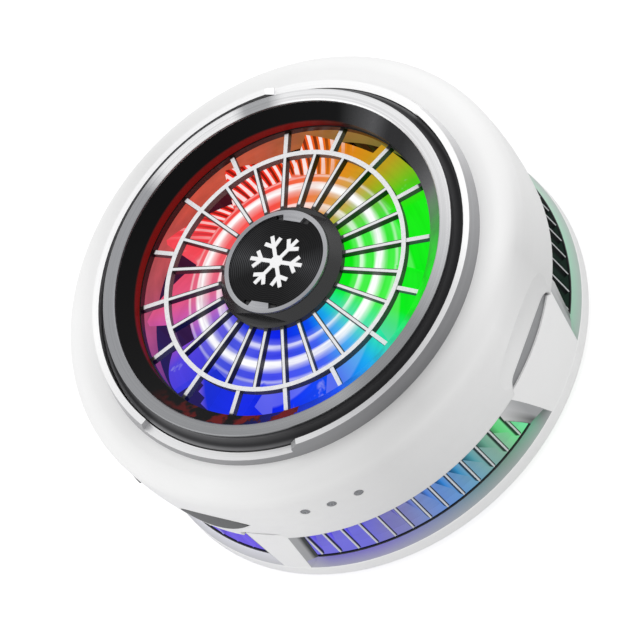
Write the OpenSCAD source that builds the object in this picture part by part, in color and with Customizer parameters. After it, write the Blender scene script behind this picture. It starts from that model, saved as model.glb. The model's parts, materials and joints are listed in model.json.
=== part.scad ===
// Phone cooling fan: a round magnetic cooler with a guarded blower, a ring of fins and a cold plate
// Millimetres, +Z up along the fan axis, origin in the middle of the contact face

/* [Body] */
// Widest diameter of the body
body_d = 66; // [64:0.5:72]
// Height from the contact face to the top of the trim ring
body_h = 29; // [28:0.25:33]
// Wall thickness of the top shell
shell_t = 2.8; // [2.6:0.1:2.9]
// Radius of the rounded shoulder
shoulder_r = 3.2; // [2.8:0.2:3.8]
// Inward lean of the wall at its lower edge
wall_lean = 1.1; // [0.9:0.1:1.3]
// Drop from the trim ring to the flat top of the shell
shell_drop = 3.3; // [3.2:0.1:3.4]

/* [Vents] */
// Width of each vent as an angle
vent_angle = 66; // [58:1:66]
// Drop from the trim ring to the upper edge of the vents
vent_drop = 16.8; // [16.6:0.1:17.1]
// Height of the outer edge of the sills
sill_out_z = 2.8; // [2.6:0.1:3.2]
// Rise of the pillar tabs above the vents
tab_rise = 2.2; // [2:0.1:2.4]
// Radius of the scoops above the pillars
scoop_r = 12; // [11:0.5:14]

/* [Collar and bezel] */
// Distance from the widest edge of the body in to the collar
collar_inset = 5; // [4.8:0.1:5.4]
// Width of the collar at its foot
collar_w = 1.4; // [1.2:0.05:1.6]
// Height of the tall arcs of the collar
collar_tall = 2.06; // [1.6:0.02:2.2]
// Height of the low arcs of the collar
collar_low = 0.97; // [0.8:0.01:1.2]
// Width of the gap between the collar and the trim ring
trim_gap = 1.26; // [1.1:0.02:1.4]
// Width of the trim ring
trim_w = 1.68; // [1.4:0.02:1.8]
// Thickness of the trim ring
trim_t = 0.5; // [0.4:0.05:0.6]
// Width of the funnel from the trim ring in to the throat
funnel_w = 2.15; // [2:0.05:2.4]

/* [Guard] */
// Number of inner spokes
inner_spokes = 24; // [18:2:28]
// Number of outer spokes
outer_spokes = 16; // [10:2:20]
// Width of a spoke
spoke_w = 0.58; // [0.5:0.02:0.7]
// Depth of a spoke
spoke_t = 0.9; // [0.8:0.05:1]
// Length of the outer spokes, from the throat in to the middle ring
outer_spoke_l = 4.2; // [3.5:0.1:5]
// Radius of the hub at its foot
hub_r = 8.84; // [8.6:0.02:9]
// Radius of the hub at its top
hub_top_r = 7.5; // [7.4:0.02:7.8]

/* [Fan] */
// Number of fan blades
blade_count = 11; // [7:1:13]
// Width of a fan blade along its pitch
blade_w = 13; // [10:0.5:13]
// Pitch of the fan blades
blade_pitch = 33; // [28:1:34]
// Thickness of a fan blade
blade_t = 0.7; // [0.5:0.05:0.9]
// Gap between the throat and the blade tips
tip_gap = 0.3; // [0.2:0.05:0.6]
// Length of a fan blade
blade_l = 5.8; // [5:0.1:6.2]
// Radius of the shaft
shaft_r = 0.75; // [0.7:0.05:0.9]

/* [Heatsink] */
// Number of fins
fin_count = 72; // [60:4:84]
// Thickness of a fin
fin_t = 0.4; // [0.3:0.05:0.5]
// Lean of the fins away from the radius
fin_lean = 42; // [38:1:44]
// Gap from the throat out to the fin ring
fin_gap = 0.7; // [0.6:0.05:0.9]
// Thickness of the heatsink base
base_t = 1.3; // [1.2:0.05:1.4]

/* [Cold side] */
// Side of the square cooling module
module_w = 20; // [18:0.5:22]
// Distance from the widest edge of the body in to the cold plate
cold_inset = 15.4; // [15:0.1:16]
// Thickness of the contact pad
pad_t = 0.8; // [0.6:0.05:0.8]
// Number of holding magnets
magnet_count = 18; // [12:2:20]
// Thickness of a magnet
magnet_t = 1.4; // [1.2:0.1:1.6]

/* [Controls] */
// Length of the power button
button_l = 11; // [9:0.5:12]
// Height of the power button
button_h = 3.6; // [3.2:0.1:3.7]
// Radius of an indicator light pipe
pipe_r = 0.6; // [0.5:0.05:0.7]
// Width of the power socket
socket_w = 8.94; // [8.6:0.02:9.2]
// Height of the power socket
socket_h = 3.2; // [3:0.05:3.3]

/* [Hidden] */
$fn = 96;
slip = 0.1;
pin_gap = 0.05;
run_gap = 0.02;
skin = 0.05;

// Positions around the axis, as angles clockwise from +X seen from above
vent_mids = [12, 106, 185.5, 272, 372];
pillar_mids = [for (i = [0 : 3]) (vent_mids[i] + vent_mids[i + 1]) / 2];
pillar_spans = [for (i = [0 : 3]) vent_mids[i + 1] - vent_mids[i] - vent_angle];
clamp_angles = [75, 195, 315];
pipe_angles = [114.4, 121.3, 128];
socket_angle = 187.5;
button_angle = 154.5;
hub_tab_angles = [150.5, 330.5];
motor_angles = [30, 150, 270];
spoke_start = 82.8;

// Radii from the widest edge inwards
body_r = body_d / 2;
belt_inset = 1.3;
belt_r = body_r - belt_inset;
belt_t = 1.4;
belt_edge_w = 0.25;
belt_edge_h = 0.3;
cover_r = belt_r - belt_t;
pillar_t = 0.8;
pillar_sink = 0.15;
pillar_foot = 0.77;
side_w = 3;
side_trim = 1.7;
side_bevel = 62;
side_taper = 0.36;
tab_inset = 1;
tab_gap = 1.8;
tab_back_t = 0.4;
pillar_in_r = belt_r - pillar_t;
fin_inset = 0.15;
fin_out_r = pillar_in_r - fin_inset;
skirt_w = 1.35;
base_r = fin_out_r - skirt_w;
ledge_w = 0.8;
ledge_r = base_r - ledge_w;
lip_t = 2.3;
inside_r = body_r - wall_lean - lip_t;
collar_out_r = body_r - collar_inset;
collar_in_r = collar_out_r - collar_w;
plate_in_r = collar_in_r - skin;
barrel_gap = 0.2;
barrel_r = collar_in_r - barrel_gap;
trim_out_r = collar_in_r - trim_gap;
trim_in_r = trim_out_r - trim_w;
throat_r = trim_in_r - funnel_w;
bore_w = 1.6;
bore_r = throat_r + bore_w;
rim_r = bore_r - slip;
mid_r = throat_r - outer_spoke_l;
mid_w = 0.64;

// Levels from the trim ring down
shell_top = body_h - shell_drop;
plate_z = shell_top - shell_t;
trim_z = body_h - trim_t;
throat_drop = 1.85;
throat_z = body_h - throat_drop;
rim_drop = 3.1;
rim_top = body_h - rim_drop;
rim_t = 1;
rim_z = rim_top - rim_t;
hub_drop = 1.7;
hub_z = body_h - hub_drop;
root_t = 0.1;
hub_t = spoke_t + root_t;
hub_ring_t = 0.4;
hub_cap_z = body_h - hub_ring_t;
mid_drop = 2.56;
mid_z = body_h - mid_drop;
bezel_flange_t = 1;
bezel_z = plate_z - bezel_flange_t;
duct_l = 1.5;
duct_z = bezel_z - duct_l;
ear_t = 1;
dish_drop = 4.6;
dish_z = body_h - dish_drop;
vent_top_z = body_h - vent_drop;
tab_z = vent_top_z + tab_rise;

// Levels from the contact face up
belt_z = 0.75;
cover_t = 1.2;
cover_z = pad_t + cover_t;
flange_t = 0.5;
film_t = 0.1;
ceramic_t = 0.5;
pellet_t = 1;
cold_film_z = cover_z + flange_t;
cold_ceramic_z = cold_film_z + film_t;
pellet_z = cold_ceramic_z + ceramic_t;
hot_ceramic_z = pellet_z + pellet_t;
hot_film_z = hot_ceramic_z + ceramic_t;
base_z = hot_film_z + film_t;
base_top = base_z + base_t;
ledge_t = 1.4;
ledge_z = base_z - ledge_t;
sill_in_z = base_z + slip;
fin_foot_z = sill_in_z + slip;

// Hub
hub_ring_w = 0.6;
disc_t = 0.25;
emblem_t = 0.12;
emblem_arm = 4;
emblem_line = 0.55;
emblem_hub_r = 0.9;
emblem_fork = 2.3;
emblem_barb = 1.5;
peg_r = 2.5;

// Clamp screws through the duct ears and the bezel flange into the shell
clamp_inset = 0.85;
clamp_r = collar_in_r + clamp_inset;
clamp_shank_r = 0.7;
clamp_depth = 1.5;
clamp_head_r = 1.4;
clamp_head_t = 0.9;
bezel_flange_r = clamp_r + clamp_shank_r + 0.25;
duct_gap = 0.3;
duct_in_r = throat_r + duct_gap;
duct_t = 0.8;
ear_w = 4.4;

// Fins and the baffle over their low part
fin_in_r = throat_r + fin_gap;
fin_step_w = 2.4;
fin_step_r = fin_in_r + fin_step_w;
fin_step_z = vent_top_z - slip;
baffle_t = 2.5;

// Fan and motor
plate_t = 1.2;
motor_z = base_top + plate_t;
light_board_t = 1;
light_board_top = motor_z + light_board_t;
fan_lift = 0.5;
fan_z = light_board_top + fan_lift;
fan_drop = 4.4;
fan_top = body_h - fan_drop;
blade_drop = 4.2;
blade_z = fan_top - blade_drop;
fan_r = throat_r - tip_gap;
drum_r = fan_r - blade_l;
drum_t = 0.8;
lid_t = 1;
ridge_inset = 2.4;
ridge_r = 1.1;
bead_inset = 4.9;
bead_r = 0.5;
post_r = 3.1;
bush_r = 2.3;
bush_lift = 2;
bush_z = motor_z + bush_lift;
yoke_drop = 3.4;
yoke_top = dish_z - yoke_drop;
yoke_h = 7.4;
yoke_z = yoke_top - yoke_h;
yoke_r = 9.2;
yoke_t = 0.6;
grip_t = 0.9;
shaft_grip = 1.6;
rotor_magnet_t = 0.9;
rotor_magnet_h = 6;
magnet_ring_in_r = yoke_r - yoke_t - rotor_magnet_t;
air_gap = 0.4;
core_r = magnet_ring_in_r - air_gap;
core_lift = 0.8;
core_z = yoke_z + core_lift;
core_t = 4;
tooth_w = 1.6;
tooth_tip_t = 0.8;
core_ring_t = 1.1;
coil_l = 1.7;
coil_build = 0.8;
coil_over = 0.6;
bush_drop = 2;
bush_top = yoke_top - bush_drop;
washer_r = 1.5;
washer_t = 0.3;
shaft_drop = 1;
pocket_r = 1.8;
pocket_t = 1.4;
motor_inset = 1.8;
motor_plate_r = fan_r - motor_inset;
motor_screw_inset = 2;
motor_screw_r = motor_plate_r - motor_screw_inset;
motor_shank_r = 1;
motor_head_r = 1.7;
motor_head_t = 0.8;
thread_l = 0.8;
light_led_inset = 3.5;
light_led_w = 2;
hall_l = 2.9;
hall_w = 1.6;
hall_t = 1;
led_t = 0.8;

// Cold side
cold_r = body_r - cold_inset;
cold_flange_w = 1.6;
cold_flange_r = cold_r + cold_flange_w;
base_screw_gap = 1.5;
base_screw_r = cold_flange_r + base_screw_gap;
base_shank_r = 0.8;
base_head_r = 1.2;
base_head_t = 0.7;
base_screw_angles = [0, 90, 180, 270];
magnet_gap = 1.7;
magnet_in_r = base_screw_r + magnet_gap;
rib_t = 0.6;
rib_h = 1;
magnet_inset = 1.2;
magnet_out_r = ledge_r - magnet_inset;
backing_t = 0.5;
pad_inset = 1.3;
pad_out_r = cover_r - pad_inset;
pad_gap = 0.6;
module_clear = 0.6;

// Controls
board_z = fin_step_z + baffle_t;
board_t = 1;
board_top = board_z + board_t;
board_gap = 0.2;
board_out_r = inside_r - board_gap;
board_w = 4.4;
board_in_r = board_out_r - board_w;
board_mid_r = board_out_r - board_w / 2;
chip_w = 3;
chip_l = 4;
chip_t = 1;
part_w = 1.8;
part_t = 1.2;
socket_z = board_top + socket_h / 2;
socket_t = 0.3;
socket_l = 7.2;
socket_inset = 0.3;
socket_in_r = body_r - socket_inset - socket_l;
socket_back_t = 0.4;
tongue_t = 0.7;
button_rise = 2.1;
button_z = board_top + button_rise;
button_flange_t = 0.8;
button_sink = 0.15;
button_inset = 0.65;
button_reach = inside_r - button_inset;
switch_gap = 1;
switch_front = button_reach - button_flange_t - switch_gap;
switch_l = 2.4;
switch_w = 5;
switch_h = 3.8;
plunger_r = 0.8;
status_inset = 1.4;
status_r = board_out_r - status_inset;
status_w = 1.4;
pipe_rise = 4.5;
pipe_z = board_top + pipe_rise;

// Length of a straight fin that starts at one radius and ends at another
function fin_length(r1, r2) =
    sqrt(r2 * r2 - pow(r1 * sin(fin_lean), 2)) - r1 * cos(fin_lean);

// Depth of the scoop above a pillar of a given span
function scoop_depth(span) = min(2, body_r * (1 - cos(span / 2 + 4)));

// Points along an arc of a circle, ends included
function arc_points(x, y, r, a1, a2, n) =
    [for (i = [0 : n]) [x + r * cos(a1 + (a2 - a1) * i / n), y + r * sin(a1 + (a2 - a1) * i / n)]];

// Turn to an angle clockwise from +X
module at(a) {
    rotate([0, 0, -a]) children();
}

// Sweep a profile between two clockwise angles
module arc(a1, a2) {
    at(a2) rotate_extrude(angle = a2 - a1) children();
}

// Flat ring between two radii
module ring(r_in, r_out, z, h) {
    translate([0, 0, z]) linear_extrude(h) difference() {
        circle(r_out);
        circle(r_in);
    }
}

// Block centred across X and Y
module block(x, y, z, h) {
    translate([-x / 2, -y / 2, z]) cube([x, y, h]);
}

// Extrude a tangent-and-height outline outwards from a radius
module outward(x, l) {
    translate([x, 0, 0]) rotate([90, 0, 90]) linear_extrude(l) children();
}

// Slot outline with round ends
module slot(w, h) {
    square([w - h, h], center = true);
    for (s = [-1, 1]) translate([s * (w - h) / 2, 0]) circle(h / 2);
}

// Pointed oval outline of the power button
module leaf(l, h) {
    r = (l * l + h * h) / (4 * h);
    intersection() {
        translate([0, h / 2 - r]) circle(r);
        translate([0, r - h / 2]) circle(r);
    }
}

// Outer edge of the shell section from the top plate down to the vents
function shell_edge() =
    let (
        mid_z = shell_top - shoulder_r,
        drop = mid_z - vent_top_z,
        sweep = (drop * drop + wall_lean * wall_lean) / (2 * wall_lean),
        lean_angle = asin(drop / sweep)
    )
    concat(
        arc_points(body_r - shoulder_r, mid_z, shoulder_r, 90, 0, 24),
        arc_points(body_r - sweep, mid_z, sweep, -lean_angle / 4, -lean_angle, 3)
    );

// Section of the shell, with a plain inner face
module shell_section() {
    polygon(concat(
        [[plate_in_r, plate_z], [plate_in_r, shell_top]],
        shell_edge(),
        [[inside_r, vent_top_z], [body_r - shell_t, plate_z - 1.6], [body_r - shell_t - 1.6, plate_z]]
    ));
}

// Width of the tab on a pillar of a given span, a little inside its sides
function tab_width(span) = 2 * belt_r * sin(span / 2) - tab_inset;

// Upright tab with rounded upper corners, standing below the vents' upper edge
module tab_shape(w, top, r) {
    polygon(concat(
        [[-w / 2, vent_top_z - 1]],
        arc_points(r - w / 2, top - r, r, 180, 90, 5),
        arc_points(w / 2 - r, top - r, r, 90, 0, 5),
        [[w / 2, vent_top_z - 1]]
    ));
}

// Notch in the shell for a pillar tab
module tab_notch(span) {
    tab_shape(tab_width(span) + 2 * slip, tab_z, tab_rise * 0.8);
}

// Thin wall that closes the notch behind the groove over a pillar
module tab_back(span) {
    intersection() {
        ring(pillar_in_r + 2 * skin, pillar_in_r + tab_back_t, belt_z, body_h);
        outward(pillar_in_r / 2, body_r) tab_shape(tab_width(span) - slip, tab_z - slip, tab_rise * 0.8 - slip);
    }
}

// Outline of a pillar: wide below the vents' upper edge, a rounded tab above it
module tab_outline(span) {
    w = tab_width(span);
    r = (tab_rise - tab_gap) * 0.8;
    top = tab_z - tab_gap;
    wide = w / 2 + side_w;
    polygon(concat(
        [[-wide, sill_out_z - pillar_sink], [-wide, vent_top_z], [-w / 2, vent_top_z]],
        arc_points(r - w / 2, top - r, r, 180, 90, 5),
        arc_points(w / 2 - r, top - r, r, 90, 0, 5),
        [[w / 2, vent_top_z], [wide, vent_top_z], [wide, sill_out_z - pillar_sink]]
    ));
}

// Space beside a pillar, its plane bevelled so that the vents widen outwards and downwards
module pillar_side(a) {
    foot = pillar_foot * a - side_trim;
    translate([belt_r * cos(foot), belt_r * sin(foot), sill_out_z])
        rotate([-side_taper * a, 0, -side_bevel])
            translate([-body_r, 0, -body_r]) cube([body_d, body_r, body_d]);
}

// One pillar of the lower housing
module pillar(span) {
    difference() {
        union() {
            intersection() {
                ring(pillar_in_r + skin, belt_r - skin, belt_z, body_h);
                outward(pillar_in_r / 2, body_r) tab_outline(span);
            }
            tab_back(span);
        }
        for (s = [0, 1]) mirror([0, s, 0]) pillar_side(span / 2);
    }
}

module top_shell() {
    color("white") difference() {
        rotate_extrude() shell_section();
        shell_openings();
    }
}

// Cuts through the shell wall and its top plate
module shell_openings() {
    for (i = [0 : 3]) at(pillar_mids[i]) {
        outward(inside_r / 2, body_r) tab_notch(pillar_spans[i]);
        translate([body_r - scoop_depth(pillar_spans[i]) + scoop_r, 0, tab_z])
            rotate([90, 0, 0]) cylinder(r = scoop_r, h = body_d, center = true);
    }
    at(socket_angle) outward(inside_r / 2, body_r) translate([0, socket_z])
        slot(socket_w + 3 * slip, socket_h + 3 * slip);
    at(button_angle) outward(inside_r / 2, body_r) translate([0, button_z])
        leaf(button_l + 5 * slip, button_h + 3 * slip);
    for (a = pipe_angles) at(a) translate([inside_r / 2, 0, pipe_z])
        rotate([0, 90, 0]) cylinder(r = pipe_r + pin_gap, h = body_r);
    for (a = clamp_angles) at(a) translate([clamp_r, 0, plate_z - ear_t])
        cylinder(r = clamp_shank_r, h = ear_t + clamp_depth + slip);
}

module lower_housing() {
    color("white") {
        rotate_extrude() polygon([
            [cover_r + slip, belt_z], [belt_r - belt_edge_w, belt_z], [belt_r, belt_z + belt_edge_h],
            [belt_r, sill_out_z], [pillar_in_r, sill_in_z], [base_r + slip, sill_in_z],
            [base_r + slip, base_z], [ledge_r, base_z], [ledge_r, ledge_z], [cover_r + slip, ledge_z]
        ]);
        for (i = [0 : 3]) at(pillar_mids[i]) pillar(pillar_spans[i]);
    }
}

// Collar section of a given height, its side sloped
module collar_section(h) {
    polygon([
        [collar_in_r, shell_top], [collar_out_r, shell_top],
        [collar_out_r - 0.25 * h, shell_top + h], [collar_in_r, shell_top + h]
    ]);
}

module collar() {
    ramp = 1.6;
    color("gainsboro") difference() {
        rotate_extrude() collar_section(collar_tall);
        for (a = [0, 180]) at(a) {
            arc(125, 175) translate([trim_out_r, shell_top + collar_low]) square([collar_inset, collar_tall]);
            at(123) outward(trim_out_r, collar_inset) translate([0, shell_top]) polygon([
                [-ramp, collar_low], [0, collar_tall], [0, 2 * collar_tall],
                [-2 * ramp, 2 * collar_tall], [-2 * ramp, collar_low]
            ]);
        }
    }
}

module bezel() {
    barrel_top = trim_out_r - 0.15;
    color("black") difference() {
        rotate_extrude() polygon([
            [trim_in_r, trim_z], [barrel_top, trim_z], [barrel_top, trim_z - 0.9],
            [barrel_r, trim_z - 1.7], [barrel_r, plate_z], [bezel_flange_r, plate_z],
            [bezel_flange_r, bezel_z], [bore_r, bezel_z], [bore_r, rim_top], [throat_r, rim_top],
            [throat_r, throat_z]
        ]);
        for (a = clamp_angles) at(a) translate([clamp_r, 0, bezel_z - ear_t])
            cylinder(r = clamp_shank_r + slip, h = ear_t + bezel_flange_t + ear_t);
    }
}

module trim_ring() {
    c = 0.15;
    color("silver") rotate_extrude() polygon([
        [trim_in_r, trim_z], [trim_out_r - c, trim_z], [trim_out_r, trim_z + c], [trim_out_r, body_h - c],
        [trim_out_r - c, body_h], [trim_in_r + c, body_h], [trim_in_r, body_h - c]
    ]);
}

// Sloped bar from one radius and height to another
module spoke(r1, z1, r2, z2) {
    translate([0, spoke_w / 2, 0]) rotate([90, 0, 0]) linear_extrude(spoke_w)
        polygon([[r1, z1], [r2, z2], [r2, z2 - spoke_t], [r1, z1 - spoke_t]]);
}

module guard() {
    sink = 0.04;
    color("whitesmoke") {
        ring(peg_r, hub_r - root_t, hub_z - hub_t, hub_t);
        ring(mid_r - mid_w / 2, mid_r + mid_w / 2, mid_z - hub_t, hub_t);
        ring(throat_r - 0.2, rim_r, rim_z, rim_t);
        for (i = [0 : inner_spokes - 1]) at(spoke_start + i * 360 / inner_spokes)
            spoke(hub_r - 0.5, hub_z - sink, mid_r, mid_z - sink);
        for (i = [0 : outer_spokes - 1]) at(spoke_start + i * 360 / outer_spokes)
            spoke(mid_r, mid_z - sink, throat_r + 0.3, rim_top - sink);
    }
}

module hub_cap() {
    color("black") difference() {
        union() {
            translate([0, 0, hub_z]) cylinder(r1 = hub_r, r2 = hub_top_r + 0.1, h = hub_cap_z - hub_z);
            translate([0, 0, hub_z - hub_t]) cylinder(r = peg_r - pin_gap, h = hub_t + 2 * root_t);
        }
        for (a = hub_tab_angles) at(a)
            translate([hub_top_r + 0.05, -5, hub_z + 0.25]) cube([4, 10, hub_cap_z - hub_z]);
    }
}

module hub_ring() {
    color("silver") {
        ring(hub_top_r - hub_ring_w, hub_top_r, hub_cap_z, hub_ring_t);
        for (a = hub_tab_angles) at(a) translate([0, 0, hub_cap_z]) linear_extrude(hub_ring_t) polygon([
            [hub_top_r - 1.55, -1.3], [hub_top_r - 0.45, -1.75],
            [hub_top_r - 0.45, 1.75], [hub_top_r - 1.55, 1.3]
        ]);
    }
}

module hub_disc() {
    color("dimgray") difference() {
        translate([0, 0, hub_cap_z]) cylinder(r = hub_top_r - hub_ring_w - pin_gap, h = disc_t);
        for (a = hub_tab_angles) at(a) translate([hub_top_r - 1.6, -2.5, hub_cap_z - 1]) cube([4, 5, 4]);
    }
}

// Plain six-armed snow mark
module hub_emblem() {
    w = emblem_line;
    color("silver") translate([0, 0, hub_cap_z + disc_t]) linear_extrude(emblem_t) {
        circle(emblem_hub_r);
        for (i = [0 : 5]) rotate(60 * i) {
            translate([0, -w / 2]) square([emblem_arm, w]);
            for (s = [-1, 1]) translate([emblem_fork, 0]) rotate(50 * s)
                translate([0, -w / 2]) square([emblem_barb, w]);
        }
    }
}

module air_duct() {
    color("mistyrose") difference() {
        union() {
            ring(duct_in_r, duct_in_r + duct_t, duct_z, rim_z - duct_z);
            for (a = clamp_angles) at(a)
                translate([duct_in_r + duct_t / 2, -ear_w / 2, bezel_z - ear_t])
                    cube([bezel_flange_r - duct_in_r - duct_t / 2, ear_w, ear_t]);
        }
        for (a = clamp_angles) at(a) translate([clamp_r, 0, bezel_z - 2 * ear_t])
            cylinder(r = clamp_shank_r + slip, h = 3 * ear_t);
    }
}

module clamp_screws() {
    color("gray") for (a = clamp_angles) at(a) translate([clamp_r, 0, bezel_z - ear_t]) {
        translate([0, 0, -clamp_head_t]) cylinder(r = clamp_head_r, h = clamp_head_t);
        cylinder(r = clamp_shank_r, h = ear_t + bezel_flange_t + clamp_depth);
    }
}

module heatsink_base() {
    color("silver") difference() {
        translate([0, 0, base_z]) cylinder(r = base_r, h = base_t);
        for (a = base_screw_angles) at(a) translate([base_screw_r, 0, base_z - base_t])
            cylinder(r = base_shank_r, h = base_t + thread_l + slip);
        for (a = motor_angles) at(a) translate([motor_screw_r, 0, base_top - thread_l])
            cylinder(r = motor_shank_r, h = base_t);
    }
}

// Upright swept plates, low behind the vents, tall beside the duct, with a skirt past the base
module heatsink_fins() {
    low = fin_length(fin_in_r, fin_out_r) - fin_t / 2;
    high = fin_length(fin_in_r, fin_step_r) - fin_t / 2;
    skirt = fin_length(fin_in_r, base_r + slip);
    color("lightgray") for (i = [0 : fin_count - 1]) rotate([0, 0, i * 360 / fin_count])
        translate([fin_in_r, 0, 0]) rotate([90, 0, fin_lean]) linear_extrude(fin_t) polygon([
            [0, base_top], [skirt, base_top], [skirt, fin_foot_z], [low, fin_foot_z],
            [low, fin_step_z], [high, fin_step_z], [high, duct_z], [0, duct_z]
        ]);
}

module air_baffle() {
    color("gray") ring(fin_step_r + 3 * slip, inside_r - slip, fin_step_z, baffle_t);
}

// One pitched fan blade, cut round at the drum and at its tip
module blade() {
    intersection() {
        ring(drum_r - drum_t / 2, fan_r, fan_z, fan_top - fan_z);
        translate([drum_r / 2, 0, blade_z]) rotate([blade_pitch, 0, 0])
            translate([0, -blade_w / 2, -blade_t / 2]) cube([fan_r, blade_w, blade_t]);
    }
}

// Section of the fan drum, its lid ridged and its socket open below
module drum_section() {
    lid = dish_z - lid_t;
    grip_z = yoke_z + lid_t;
    polygon(concat(
        [
            [shaft_r, yoke_top], [post_r, yoke_top], [post_r, lid], [yoke_r, lid], [yoke_r, grip_z],
            [yoke_r + grip_t, grip_z], [yoke_r + grip_t, lid], [drum_r - drum_t, lid],
            [drum_r - drum_t, fan_z], [drum_r, fan_z], [drum_r, dish_z - 0.6 * lid_t]
        ],
        arc_points(drum_r - ridge_inset, dish_z - 0.4 * lid_t, ridge_r, 22, 158, 8),
        arc_points(drum_r - bead_inset, dish_z, bead_r, 0, 180, 6),
        [[0, dish_z], [0, yoke_top + shaft_grip], [shaft_r, yoke_top + shaft_grip]]
    ));
}

module impeller() {
    color("lightcyan") {
        rotate_extrude() drum_section();
        for (i = [0 : blade_count - 1]) at(i * 360 / blade_count) blade();
    }
}

module rotor_yoke() {
    color("dimgray") {
        ring(yoke_r - yoke_t, yoke_r, yoke_z, yoke_top - yoke_z);
        ring(shaft_r, yoke_r - yoke_t / 2, yoke_top - yoke_t, yoke_t);
    }
}

module rotor_magnet() {
    color("black") ring(magnet_ring_in_r, yoke_r - yoke_t, yoke_z + 2 * slip, rotor_magnet_h);
}

module shaft() {
    color("gainsboro") translate([0, 0, bush_z - shaft_drop])
        cylinder(r = shaft_r, h = yoke_top + shaft_grip - bush_z + shaft_drop);
}

module retaining_washer() {
    color("ivory") ring(shaft_r, washer_r, bush_z - pocket_t / 2, washer_t);
}

module motor_base() {
    color("black") difference() {
        union() {
            translate([0, 0, base_top]) cylinder(r = motor_plate_r, h = plate_t);
            translate([0, 0, base_top]) cylinder(r = post_r, h = bush_top - base_top);
        }
        translate([0, 0, bush_z]) cylinder(r = bush_r, h = body_h);
        translate([0, 0, bush_z - pocket_t]) cylinder(r = pocket_r, h = 1.5 * pocket_t);
        for (a = motor_angles) at(a) translate([motor_screw_r, 0, base_top - plate_t])
            cylinder(r = motor_shank_r + slip, h = 3 * plate_t);
    }
}

module motor_screws() {
    color("gray") for (a = motor_angles) at(a) translate([motor_screw_r, 0, base_top - thread_l]) {
        cylinder(r = motor_shank_r, h = plate_t + thread_l);
        translate([0, 0, plate_t + thread_l]) cylinder(r = motor_head_r, h = motor_head_t);
    }
}

module bearing_bush() {
    color("goldenrod") ring(shaft_r + run_gap, bush_r, bush_z, bush_top - bush_z);
}

module stator_core() {
    color("slategray") translate([0, 0, core_z]) linear_extrude(core_t) difference() {
        union() {
            circle(post_r + core_ring_t);
            for (i = [0 : 3]) rotate(90 * i) {
                translate([post_r + core_ring_t / 2, -tooth_w / 2])
                    square([core_r - post_r - core_ring_t / 2 - tooth_tip_t / 2, tooth_w]);
                polygon(concat(
                    arc_points(0, 0, core_r, -32, 32, 8),
                    arc_points(0, 0, core_r - tooth_tip_t, 32, -32, 8)
                ));
            }
        }
        circle(post_r + run_gap);
    }
}

module stator_coils() {
    color("peru") for (i = [0 : 3]) at(90 * i) difference() {
        translate([post_r + core_ring_t + 3 * slip, -tooth_w / 2 - coil_build, core_z - coil_over])
            cube([coil_l, tooth_w + 2 * coil_build, core_t + 2 * coil_over]);
        translate([post_r, -tooth_w / 2, core_z]) cube([core_r, tooth_w, core_t]);
    }
}

module light_board() {
    color("seagreen") ring(post_r + run_gap, drum_r - 1.5 * drum_t, motor_z, light_board_t);
}

module light_leds() {
    color("ivory") for (i = [0 : 11]) at(30 * i + 15)
        translate([drum_r - light_led_inset, 0, 0]) block(light_led_w, light_led_w, light_board_top, led_t);
}

module hall_sensor() {
    color("black") at(60) translate([magnet_ring_in_r, 0, 0]) block(hall_l, hall_w, light_board_top, hall_t);
}

module hot_film() {
    color("lightsteelblue") block(module_w, module_w, hot_film_z, film_t);
}

module hot_ceramic() {
    color("white") block(module_w, module_w, hot_ceramic_z, ceramic_t);
}

// Square grid of semiconductor legs
module module_pellets() {
    n = 8;
    pitch = (module_w - 1) / n;
    color("gray") for (i = [0 : n - 1], j = [0 : n - 1])
        translate([(i - (n - 1) / 2) * pitch, (j - (n - 1) / 2) * pitch, 0])
            block(pitch * 0.6, pitch * 0.6, pellet_z, pellet_t);
}

module cold_ceramic() {
    color("white") block(module_w, module_w, cold_ceramic_z, ceramic_t);
}

module cold_film() {
    color("lightsteelblue") block(module_w, module_w, cold_film_z, film_t);
}

module foam_gasket() {
    color("darkgray") difference() {
        translate([0, 0, cold_film_z]) cylinder(r = cold_flange_r, h = base_z - cold_film_z);
        block(module_w + module_clear, module_w + module_clear, cover_z, base_top);
    }
}

module cold_plate() {
    color("silver") {
        cylinder(r = cold_r, h = cover_z);
        translate([0, 0, cover_z]) cylinder(r = cold_flange_r, h = flange_t);
    }
}

module back_cover() {
    color("whitesmoke") difference() {
        union() {
            ring(cold_r + slip, cover_r, pad_t, cover_t);
            ring(ledge_r - 2 * slip, cover_r, cover_z, ledge_z - cover_z);
            ring(magnet_in_r - rib_t, magnet_in_r - pin_gap, cover_z, rib_h);
            ring(magnet_out_r + pin_gap, magnet_out_r + rib_t, cover_z, rib_h);
        }
        for (a = base_screw_angles) at(a) translate([base_screw_r, 0, pad_t]) {
            translate([0, 0, -pad_t]) cylinder(r = base_shank_r + slip, h = pad_t + 2 * cover_t);
            translate([0, 0, -pad_t]) cylinder(r = base_head_r + slip, h = pad_t + base_head_t);
        }
    }
}

module holding_magnets() {
    step = 360 / magnet_count;
    color("dimgray") for (i = [0 : magnet_count - 1]) arc(i * step, (i + 0.92) * step)
        translate([magnet_in_r, cover_z]) square([magnet_out_r - magnet_in_r, magnet_t]);
}

module magnet_backing() {
    color("gray") ring(magnet_in_r, magnet_out_r, cover_z + magnet_t, backing_t);
}

module contact_pad() {
    color("darkgray") ring(cold_r + pad_gap, pad_out_r, 0, pad_t);
}

module base_screws() {
    color("gray") for (a = base_screw_angles) at(a) translate([base_screw_r, 0, pad_t]) {
        cylinder(r = base_head_r, h = base_head_t);
        translate([0, 0, base_head_t])
            cylinder(r = base_shank_r, h = base_z + thread_l - pad_t - base_head_t);
    }
}

module main_board() {
    color("seagreen") arc(106, 201)
        translate([board_in_r, board_z]) square([board_w, board_t]);
}

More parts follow.
